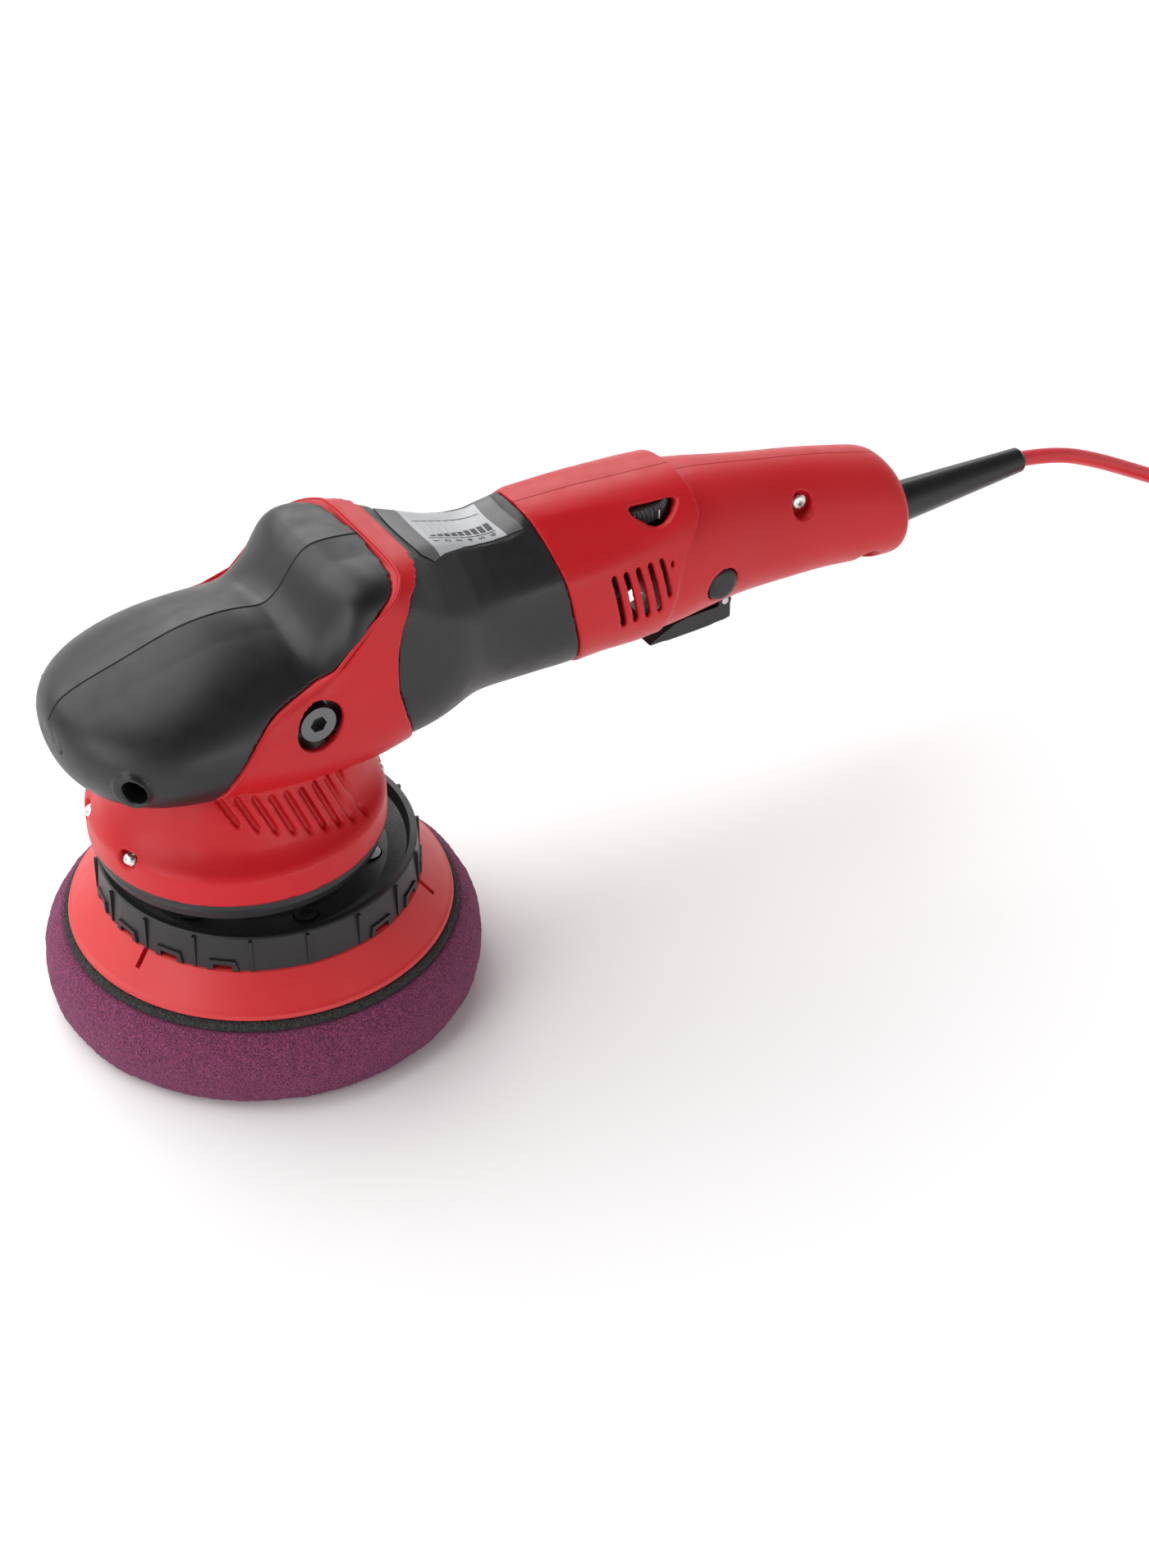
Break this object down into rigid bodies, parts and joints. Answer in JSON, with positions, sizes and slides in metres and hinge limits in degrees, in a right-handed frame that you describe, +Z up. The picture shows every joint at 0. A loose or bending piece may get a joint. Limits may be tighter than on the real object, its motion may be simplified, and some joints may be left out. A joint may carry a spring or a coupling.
{
  "type": "dual action polisher",
  "caption": "Electric random orbital polisher: angled gear head, long grip with paddle switch and speed dial, free-spinning foam pad on an eccentric, mains cord.",
  "frame": {"origin": "on the spindle axis at the pad's working face", "axes": "+X along the handle towards the cord, +Z up along the spindle, away from the work"},
  "size_m": [0.6419, 0.2003, 0.1889],
  "materials": {
    "red_plastic": "satin moulded plastic",
    "plate_red": "satin",
    "soft_black": "soft-touch matte",
    "black_plastic": "fine textured",
    "foam": "open-cell foam",
    "hook_layer": "hook and loop",
    "steel": "ground",
    "zinc_steel": "zinc plated",
    "black_steel": "black oxide",
    "aluminium": "die cast",
    "laminations": "stacked sheet",
    "copper": "enamelled winding",
    "carbon": "carbon",
    "brass": "plain",
    "label": "printed film",
    "board": "circuit board",
    "capacitor_film": "film capacitor",
    "black_rubber": "smooth",
    "cord_red": "cord jacket"
  },
  "bodies": {
    "housing": {"spindle_bearing_outer_races": "steel", "armature_bearing_outer_races": "steel", "gear_case": "aluminium", "bearing_retainer": "steel", "head_cover": "soft_black", "gear_housing": "red_plastic", "rim_screws": "zinc_steel", "side_bolts": "black_steel", "shroud_ring": "black_plastic", "motor_housing": "black_plastic", "rating_label": "label", "stator_core": "laminations", "stator_coils": "copper", "air_baffle": "black_plastic", "brush_holders": "brass", "carbon_brushes": "carbon", "brush_springs": "steel", "gear_case_screws": "zinc_steel", "handle_shell_left": "red_plastic", "handle_shell_right": "red_plastic", "handle_screws": "zinc_steel", "trigger_pin": "steel", "trigger_spring": "steel", "switch_module": "black_plastic", "speed_board": "board", "board_capacitor": "capacitor_film", "cord_guard": "black_rubber", "cable_clamp": "black_plastic", "cord_tube": "cord_red", "cord_tail": "cord_red", "cord_coil": "cord_red", "cord_tie": "black_rubber", "plug": "black_rubber", "plug_pins": "zinc_steel"},
    "spindle": {"spindle": "steel", "counterweight": "steel", "crown_gear": "steel", "spindle_bearing_inner_races": "steel", "pad_bearing_inner_race": "steel", "pad_circlip": "black_steel"},
    "pad": {"foam_pad": "foam", "interface_layer": "hook_layer", "backing_plate": "plate_red", "fan_ring": "black_plastic", "ring_screws": "black_steel", "pad_hub": "aluminium", "pad_centre_bolt": "steel", "pad_bearing_outer_race": "steel"},
    "armature": {"armature_shaft": "steel", "armature_core": "laminations", "armature_windings": "copper", "commutator": "copper", "cooling_fan": "black_plastic", "bevel_pinion": "steel", "pinion_nut": "zinc_steel", "armature_bearing_inner_races": "steel"},
    "trigger": {"trigger_paddle": "black_plastic"},
    "lock_button": {"lock_button": "black_plastic"},
    "speed_dial": {"speed_dial": "black_plastic"}
  },
  "joints": [
    {"name": "spindle_spin", "type": "hinge", "parent": "housing", "child": "spindle", "pos_m": [0, 0, 0.1], "axis": [0, 0, 1], "continuous": true},
    {"name": "pad_spin", "type": "hinge", "parent": "spindle", "child": "pad", "pos_m": [0.0075, 0, 0.06], "axis": [0, 0, 1], "continuous": true},
    {"name": "armature_spin", "type": "hinge", "parent": "housing", "child": "armature", "pos_m": [0.1, 0, 0.14], "axis": [1, 0, 0], "continuous": true},
    {"name": "trigger_pull", "type": "hinge", "parent": "housing", "child": "trigger", "pos_m": [0.2145, 0, 0.106], "axis": [0, 1, 0], "range_deg": [0, 7], "stiffness_Nm_per_rad": 0.6, "springref_deg": -14.32, "deforming": ["trigger_spring"]},
    {"name": "lock_press", "type": "slide", "parent": "housing", "child": "lock_button", "axis": [0, 1, 0], "range_m": [0, 0.003], "stiffness_N_per_m": 400, "springref_m": -0.002},
    {"name": "dial_turn", "type": "hinge", "parent": "housing", "child": "speed_dial", "pos_m": [0.172, -0.004, 0.1647], "axis": [0, 0, 1], "range_deg": [0, 270]}
  ],
  "couplings": [
    {"joint": "armature_spin", "follows": "spindle_spin", "ratio": 2.9167}
  ]
}
